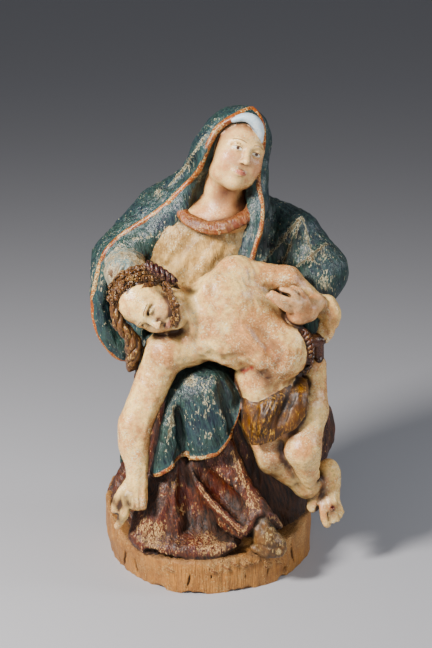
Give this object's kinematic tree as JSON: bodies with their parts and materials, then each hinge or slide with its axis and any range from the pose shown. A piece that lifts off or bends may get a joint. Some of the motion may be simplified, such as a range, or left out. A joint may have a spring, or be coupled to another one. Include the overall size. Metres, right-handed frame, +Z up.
{
  "type": "carved pieta statuette",
  "caption": "painted wood carving of a seated hooded woman with a dead man across her lap, on the hewn foot of its log",
  "frame": {"origin": "middle of the log's round on the flat underside, where it stands", "axes": "+Z up, the group faces -Y, +X is the viewer's right, towards the dead man's feet"},
  "size_m": [0.2584, 0.1932, 0.4623],
  "materials": {
    "painted_wood": "worn paint, waxed"
  },
  "bodies": {
    "root": {"pieta_carving": "painted_wood"}
  },
  "joints": []
}
